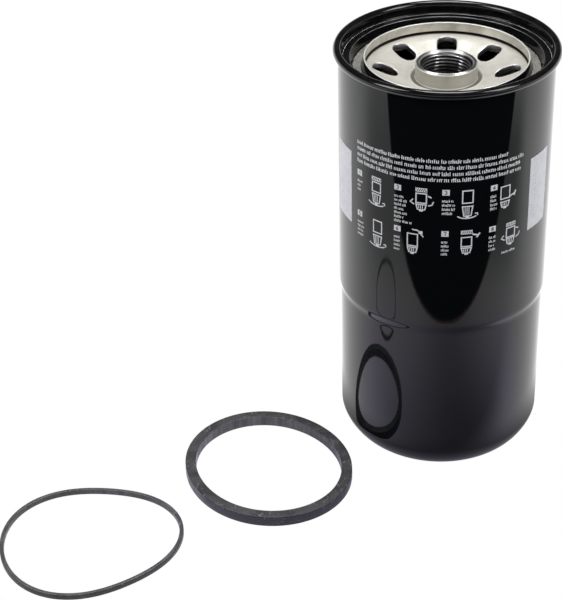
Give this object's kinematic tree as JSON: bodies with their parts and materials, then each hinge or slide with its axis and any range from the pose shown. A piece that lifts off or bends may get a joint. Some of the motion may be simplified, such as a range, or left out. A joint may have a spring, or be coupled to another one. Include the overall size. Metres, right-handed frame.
{
  "type": "spin-on fuel filter",
  "caption": "Spin-on fuel filter and water separator canister with a threaded collar, flow slots and a bowl port, and its two loose seals.",
  "frame": {"origin": "centre of the bowl port's mouth, on the plane that the canister stands on", "axes": "+Z along the canister's axis, from the bowl port up to the head thread; -Y towards the printed panel; the loose seals lie on the ground on the -X, -Y side"},
  "size_m": [0.2778, 0.2206, 0.2254],
  "materials": {
    "black_enamel": "gloss",
    "cover_enamel": "gloss",
    "print_white": "satin print",
    "seam_sealant": "matt",
    "zinc_plate": "zinc plated, matt",
    "port_steel": "turned",
    "tinplate": "satin",
    "spring_steel": "oiled",
    "core_steel": "satin",
    "potting_resin": "matt",
    "filter_paper": "resin treated paper",
    "glue_bead": "satin",
    "cage_plastic": "satin",
    "screen_mesh": "woven",
    "seal_rubber": "matt",
    "gasket_rubber": "matt, scuffed"
  },
  "bodies": {
    "canister": {"can_shell": "black_enamel", "seam_cover": "cover_enamel", "seam_compound": "seam_sealant", "thread_plate": "zinc_plate", "bowl_port_ring": "port_steel", "spring_seat": "tinplate", "element_spring": "spring_steel"},
    "element": {"lower_end_cap": "tinplate", "lower_potting": "potting_resin", "pleated_media": "filter_paper", "media_seam_clip": "tinplate", "media_band_1": "glue_bead", "media_band_2": "glue_bead", "media_band_3": "glue_bead", "perforated_core": "core_steel", "screen_frame": "cage_plastic", "separator_screen": "screen_mesh", "upper_potting": "potting_resin", "upper_end_cap": "tinplate", "neck_seal": "seal_rubber"},
    "head_seal": {"head_gasket": "gasket_rubber"},
    "bowl_seal": {"bowl_o_ring": "gasket_rubber"}
  },
  "joints": [
    {"name": "element_slide", "type": "slide", "parent": "canister", "child": "element", "axis": [0, 0, 1], "range_m": [-0.004, 0], "stiffness_N_per_m": 3000, "springref_m": 0.008, "deforming": ["element_spring"]},
    {"name": "gasket_lift", "type": "slide", "parent": "canister", "child": "head_seal", "axis": [0, 0, 1], "range_m": [0, 0.25]},
    {"name": "o_ring_lift", "type": "slide", "parent": "canister", "child": "bowl_seal", "axis": [0, 0, 1], "range_m": [0, 0.25]}
  ]
}
